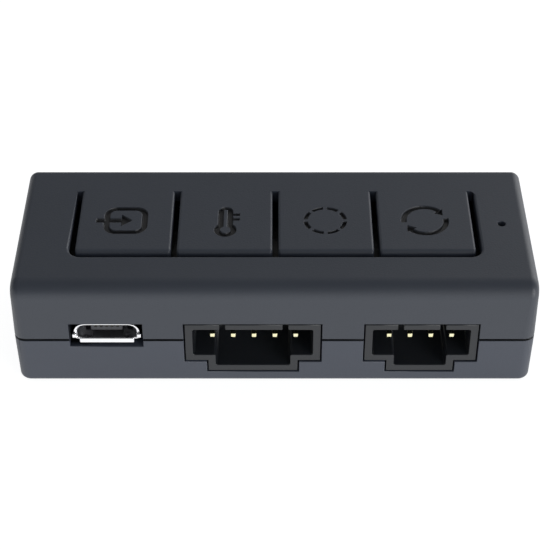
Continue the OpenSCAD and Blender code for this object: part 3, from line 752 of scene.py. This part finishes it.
# The attribute sunk made here is the mask of the sign's painted shade in moulded_plastic.
def mark_sunk(mesh, middle, top):
    """Attribute sunk: 0 on the roof, rising to 1 at DARK_FROM of the sign's depth and below."""
    flat = np.empty(len(mesh.vertices) * 3, np.float32)
    mesh.vertices.foreach_get("co", flat)
    x, y, z = flat.reshape(-1, 3).T / MM
    u, v = x - middle, y - SIGN_Y
    near = (u > SIGN_REACH[0]) & (u < SIGN_REACH[1]) & (v > SIGN_REACH[2]) & (v < SIGN_REACH[3])
    depth = np.clip((top - z) / (DARK_FROM * ENGRAVED), 0, 1) * (near & (z > top - ENGRAVED - NEAR))
    layer = mesh.attributes.new("sunk", "FLOAT", "POINT")
    layer.data.foreach_set("value", depth.astype(np.float32))


print("signs are", ENGRAVED, "mm deep")

# %% [markdown]
# From the top's border a skirt runs down: a quarter round, then the upright side. At the root
# there is no round, because there the plastic runs on into the roof, and a gap of a few
# thousandths of a millimetre keeps the two pieces from crossing when the tongue bends down. The
# skirt is one patch: a profile carried once round the border, with an outward direction at each
# place.

# %% The border and the skirt
TONGUE_ROUND = 0.3
TIP_ROUND = 0.55
WEB = 0.9
WEB_END = 1.6
ROOT_LEAN = math.tan(math.radians(4.5))
ROOT_GAP = 0.003
SAME = 1e-6


def border(x_lines, y_lines):
    """Once round the top's border: x, y, outward direction, and 1 where the edge is rounded.

    The stretches are the front, a corner, the right, the root, the left and a corner. The second
    result counts the places up to the end of each stretch.
    """
    quarter = np.radians(np.linspace(-90, 0, 7))[1:-1]
    left, right, front, root = x_lines[0], x_lines[-1], y_lines[0], y_lines[-1]
    stretches = (
        (x_lines, front, 0, -1, 1),
        (right, front, np.cos(quarter), np.sin(quarter), 1),
        (right, y_lines, 1, 0, 1),
        (x_lines[::-1], root, 0, 0, 0),
        (left, y_lines[::-1], -1, 0, 1),
        (left, front, -np.cos(quarter[::-1]), np.sin(quarter[::-1]), 1),
    )
    parts = [np.stack(np.broadcast_arrays(*stretch), axis=-1) for stretch in stretches]
    return np.concatenate(parts).T, np.cumsum([len(part) for part in parts])


def skirt(place, root, top):
    """Rows from the border down: an elliptic quarter round, then the foot of the upright side.

    The round is TONGUE_ROUND wide and deep at the sides, and TIP_ROUND at the tip. At the root
    every row leans back by ROOT_LEAN times its depth, so that the tongue can turn.
    """
    px, py, nx, ny, rounded = place
    at_root = py > root - SAME
    bend = np.radians(np.linspace(0, 90, 7))[:, None]
    fall = (TONGUE_ROUND + (TIP_ROUND - TONGUE_ROUND) * np.maximum(-ny, 0)) * rounded
    drop = fall * (1 - np.cos(bend))
    x = px + nx * TONGUE_ROUND * np.sin(bend)
    y = py + ny * TIP_ROUND * np.sin(bend) - at_root * drop * ROOT_LEAN
    rows = np.stack([x, y, top - drop], axis=-1)
    foot = np.stack([
        px + nx * TONGUE_ROUND * rounded,
        np.where(at_root, root - WEB * ROOT_LEAN, py + ny * TIP_ROUND * rounded),
        np.where(py > root - WEB_END - SAME, top - WEB, top - ROOF_T),
    ], axis=-1)
    return np.concatenate([rows, foot[None]], axis=0)


print("web at the root:", WEB, "mm thick")


# %% The nub
NUB_R = 1.0
NUB_BEVEL = 0.1
NUB_SUNK = 0.2


def nub(middle, low, high):
    """A round peg under the sign: a profile of radius and height turned about the upright axis."""
    radius = np.array([0, NUB_R - NUB_BEVEL, NUB_R, NUB_R, 0])[:, None]
    height = np.array([low, low, low + NUB_BEVEL, high, high])[:, None]
    turn = np.linspace(0, 2 * math.pi, 32, endpoint=False)
    x, y = middle + radius * np.cos(turn), SIGN_Y + radius * np.sin(turn)
    return np.stack([x, y, np.broadcast_to(height, x.shape)], axis=-1)


print("nub:", 2 * NUB_R, "mm thick")

# %% [markdown]
# The underside joins the feet of the two sides by long quads across the tongue, and the tip and
# the thin web at the root close with one many-sided face each. Apart from their places, the four
# buttons differ only in the sign's field.

# %% The four buttons
body_of = {
    node: body for body, nodes in frame["record"]["behaviour"]["bodies"].items() for node in nodes
}


def button(node, sign):
    """One tongue with its sign, closed underneath, with the nub that presses its switch."""
    low, high = (np.array(corner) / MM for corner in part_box(node))
    low = low - (DRAFT_SIDE, DRAFT_TIP, 0)
    high = high + (DRAFT_SIDE, 0, 0)
    middle = (low[0] + high[0]) / 2
    root, top = high[1] - ROOT_GAP, high[2]
    left, right, front = low[0] + TONGUE_ROUND, high[0] - TONGUE_ROUND, low[1] + TIP_ROUND
    beside = 0.04
    x_lines = grid_lines(
        left, right, middle + SIGN_REACH[0], middle + SIGN_REACH[1], (left + beside, right - beside)
    )
    web_lines = (root - WEB_END, root - WEB_END - ROOF_T * ROOT_LEAN)
    y_lines = grid_lines(
        front, root, SIGN_Y + SIGN_REACH[2], SIGN_Y + SIGN_REACH[3], (front + beside, *web_lines)
    )
    shell = Shell()
    shell.grid(engraved_top(x_lines, y_lines, middle, top, sign))
    place, ends = border(x_lines, y_lines)
    rows = skirt(place, root, top)
    shell.grid(rows, wrap=True)

    side = np.arange(len(y_lines))
    right_foot, left_foot = ends[1] + side, ends[3] + side[::-1]
    quads = np.stack([right_foot[:-1], right_foot[1:], left_foot[1:], left_foot[:-1]], axis=-1)
    tip = np.concatenate([np.arange(ends[1] + 1), np.arange(left_foot[0], ends[5])])
    heel = np.arange(right_foot[-1], ends[3] + 1)
    shell.add(rows[-1], quads, (tip, heel))
    shell.grid(nub(middle, low[2], top - ROOF_T + NUB_SUNK), wrap=True)
    name = node.replace("button_", "") + "_tongue"
    piece = shell.build(name, housing_plastic, body_of[node], 60)
    # Marks where the painted shade of the sign's engraving goes.
    mark_sunk(piece.data, middle, top)
    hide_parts(node)


for node, sign in SIGNS.items():
    button(node, sign)

# %% [markdown]
# ## The pins
# A header pin is square gold-plated wire with a coined tip, so that a plug's spring slides onto
# it. It runs straight back, bends up and goes through the board. One loop round the wire, a
# square with round corners, is carried along that path, and shrinks at the tip like a bullet. A
# curve object with a bevel could do the bend, but not the tip.

# %% Pins
TIP_L = 0.22
TIP_SIZE = 0.74
BEND_R = 0.82
CORNER_POWER = 0.35


def square_loop(half):
    """A square with round corners: cosine and sine, each raised to a small power with its sign."""
    turn = np.linspace(0, 2 * math.pi, 32, endpoint=False)
    way = np.stack([np.cos(turn), np.sin(turn)], axis=-1)
    return half * np.sign(way) * np.abs(way) ** CORNER_POWER


def carried(path, across, loop, scale):
    """Rows along the path: path + scale * (u * x axis + v * across) for each (u, v) of the loop."""
    sideways = np.array([1.0, 0, 0])
    u, v = loop.T
    section = u[None, :, None] * sideways + v[None, :, None] * across[:, None]
    return path[:, None] + scale[:, None, None] * section


def capped(rows):
    """The rows with a first and a last one drawn together into the middle, which closes both ends."""
    ends = [np.broadcast_to(row.mean(axis=0), (1, *row.shape)) for row in (rows[0], rows[-1])]
    return np.concatenate([ends[0], rows, ends[1]])


def pin(node):
    """Straight wire whose tip swells over TIP_L, a quarter bend of BEND_R, and an upright leg."""
    low, high = (np.array(corner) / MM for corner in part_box(node))
    half = (high[0] - low[0]) / 2
    axis_z = low[2] + half
    leg_y = high[1] - half
    step = np.linspace(0, math.pi / 2, 9)
    bend = np.linspace(0, math.pi / 2, 10)
    bend_y, bend_z = BEND_R * np.sin(bend), BEND_R * (1 - np.cos(bend))
    y = np.concatenate([low[1] + TIP_L * (1 - np.cos(step)), leg_y - BEND_R + bend_y, [leg_y]])
    level, full = np.zeros(len(step)), np.ones(len(bend) + 1)
    z = np.concatenate([level + axis_z, axis_z + bend_z, [high[2]]])
    lean = np.concatenate([level, bend, [math.pi / 2]])
    size = np.concatenate([TIP_SIZE + (1 - TIP_SIZE) * np.sin(step), full])
    path = np.stack([np.full(len(y), (low[0] + high[0]) / 2), y, z], axis=-1)
    across = np.stack([np.zeros(len(y)), -np.sin(lean), np.cos(lean)], axis=-1)
    shell = Shell()
    shell.grid(capped(carried(path, across, square_loop(half), size)), wrap=True)
    name = node.replace("_header_pin", "_contact_pin")
    piece = shell.build(name, gold_plate, body_of[node], 40)
    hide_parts(node)


for node in frame["nodes"]:
    if "_header_pin_" in node:
        pin(node)

# %% [markdown]
# ## The headers' shrouds
# The dark shrouds stand in the front wall with a thin gap all round. Their solids have the keyed
# outline already, so they are softened as the covers are, with a much smaller radius, and only in
# front, where the edges show.

# %% Softened shrouds
SHROUD_ROUND = 0.1
FACE_DEPTH = 0.35
IN_FRONT = -10.0


def shroud(node, name):
    """A shroud whose sharp edges in front are rounded; faces that touch its front are joined first."""
    face_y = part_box(node)[0][1] + FACE_DEPTH * MM
    piece = welded_copy(node, name, lambda face: min(vert.co.y for vert in face.verts) < face_y)
    middles, turns = edge_places(piece.data)
    rounded = (np.abs(turns) > math.radians(30)) & (middles[:, 1] < IN_FRONT)
    soften(piece, np.where(rounded, 1.0, 0.0), SHROUD_ROUND, 3)
    stand_in(piece, node, header_plastic)
    print(name, "edges rounded:", int(rounded.sum()))


shroud("five_pin_shroud", "five_pin_housing")
shroud("four_pin_shroud", "four_pin_housing")

# %% [markdown]
# ## The micro USB socket's sheet
# The shell is stamped from sheet metal and folded round until its ends meet. In front its edges
# are rolled and flare out a little, and three lips guide the plug. The fold is one closed loop
# seen from the front, and the section of the sheet, long and thin with a round front edge, is
# carried round that loop. The lips are small pads with round edges, pushed into the sheet.
# Solidify would give the sheet its thickness too, but with a square front edge.

# %% Loops and pads
def rounded_loop(x0, x1, z0, z1, radii, steps=10):
    """Points and outward directions round a box whose four corners have their own radii.

    The corners come in the order right top, left top, left bottom, right bottom.
    """
    points, ways = [], []
    signs = ((1, 1), (-1, 1), (-1, -1), (1, -1))
    for index, ((sx, sz), r) in enumerate(zip(signs, radii)):
        turn = np.radians(np.linspace(90 * index, 90 * index + 90, steps))
        way = np.stack([np.cos(turn), np.sin(turn)], axis=-1)
        centre = np.array([(x1 - r) if sx > 0 else (x0 + r), (z1 - r) if sz > 0 else (z0 + r)])
        points.append(centre + r * way)
        ways.append(way)
    return np.concatenate(points), np.concatenate(ways)


def standing(flat, y):
    """Rows of (x, z) as points in space, each row at its own y."""
    return np.stack([flat[..., 0], np.broadcast_to(y[:, None], flat.shape[:2]), flat[..., 1]], axis=-1)


def pad(shell, box_x, box_z, y_front, y_back, r):
    """A block with round front edges: a rounded loop that shrinks by r as it comes to the front."""
    points, ways = rounded_loop(*box_x, *box_z, (r,) * 4)
    bend = np.radians(np.linspace(0, 90, 6))
    inset = np.concatenate([r * (1 - np.sin(bend)), [0]])
    y = np.concatenate([y_front + r * (1 - np.cos(bend)), [y_back]])
    shell.grid(capped(standing(points[None] - inset[:, None, None] * ways[None], y)), wrap=True)


print("a loop has", len(rounded_loop(0, 1, 0, 1, (0.1,) * 4)[0]), "points")


# %% The folded sheet
SHEET = 0.36
SHEET_TOP = 0.28
FLARE = 0.23
SHOULDER_R = 1.4
FOOT_R = 0.4


def folded_sheet(x0, x1, z0, z1, front, back):
    """The sheet as one ring: its section goes from the back to the front, round the edge and back.

    The sheet is SHEET thick, and thins to SHEET_TOP with the sixth power of how much it faces up.
    Its front edge moves outwards by FLARE, falling off as a square over one thickness: fully at
    the sides, less towards the top and bottom.
    """
    points, ways = rounded_loop(x0, x1, z0, z1, (SHOULDER_R, SHOULDER_R, FOOT_R, FOOT_R), 14)
    up = ways[:, 1]
    thick = SHEET - (SHEET - SHEET_TOP) * np.clip(up, 0, 1) ** 6
    bend = np.radians(np.linspace(0, 180, 9))
    inward = np.concatenate([[0, 0], 0.5 * (1 - np.cos(bend)), [1, 1]])
    edge_y = front + 0.5 * SHEET * (1 - np.sin(bend))
    y = np.concatenate([[back, front + SHEET], edge_y, [front + SHEET, back]])
    flared = FLARE * np.clip(1 - (y - front) / SHEET, 0, 1) ** 2
    side = 1 - np.where(up > 0, up ** 4, np.abs(up))
    outward = flared[:, None] * side - inward[:, None] * thick
    rows = standing(points[None] + outward[..., None] * ways[None], y)
    return np.concatenate([rows, rows[:1]])


print("sheet:", SHEET, "mm thick, flared by", FLARE, "mm")


# %% The whole shell with its lips and legs
LIP = 0.3
LIP_HALF = 3.25
LIP_H = 0.42
LIP_ROUND = 0.12
LIP_SUNK = 0.15
SIDE_LIP = (0.45, 1.05)
SIDE_SUNK = 0.2
LEG_HALF = 0.6
LEG_ROUND = 0.05
BOARD_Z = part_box("circuit_board")[0][2] / MM


def usb_sheet():
    """The folded sheet, its three lips and its two legs."""
    low, high = (np.array(corner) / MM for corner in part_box("usb_shell"))
    left, right = low[0] + LIP, high[0] - LIP
    bottom, top = low[2] + LIP, BOARD_Z
    front, back = low[1] + LIP, high[1]
    shell = Shell()
    shell.grid(folded_sheet(left, right, bottom, top, front, back), wrap=True)
    middle = (left + right) / 2
    lip_y = (front - LIP, front + LIP_SUNK, LIP_ROUND)
    pad(shell, (middle - LIP_HALF, middle + LIP_HALF), (bottom - LIP, bottom + LIP_H), *lip_y)
    side_z = (bottom + SIDE_LIP[0], bottom + SIDE_LIP[1])
    for side_x in ((left - LIP, left + SIDE_SUNK), (right - SIDE_SUNK, right + LIP)):
        pad(shell, side_x, side_z, *lip_y)
    leg_y = (front + back) / 2
    for leg_x in ((left, left + SHEET), (right - SHEET, right)):
        pad(shell, leg_x, (top - SHOULDER_R, high[2]), leg_y - LEG_HALF, leg_y + LEG_HALF, LEG_ROUND)
    piece = shell.build("usb_sheet", bright_plate, "housing", 40)
    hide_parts("usb_shell")


usb_sheet()

# %% [markdown]
# ## The other solids
# The board, its chips and switches, the socket's tongue and contacts and the screws already have
# their true shape, so they only take their finish. A node's name starts with the kind of piece it
# is, and that picks the material.

# %% Finishes for the frame's solids
FINISH_OF = {
    "usb_insulator": insulator_plastic,
    "usb_contact": gold_plate,
    "circuit_board": board_laminate,
    "switch_body": can_metal,
    "switch_plunger": plunger_plastic,
    "status_light": light_resin,
    "microcontroller": chip_resin,
    "voltage_regulator": chip_resin,
    "crystal": can_metal,
    "chip_capacitor": capacitor_ceramic,
    "chip_resistor": resistor_ceramic,
    "case_screws": screw_steel,
}
finished = 0
for node, solid in frame["nodes"].items():
    for kind, finish in FINISH_OF.items():
        if node.startswith(kind):
            solid.data.materials.clear()
            solid.data.materials.append(finish)
            finished += 1
print("solids with a finish of their own:", finished)
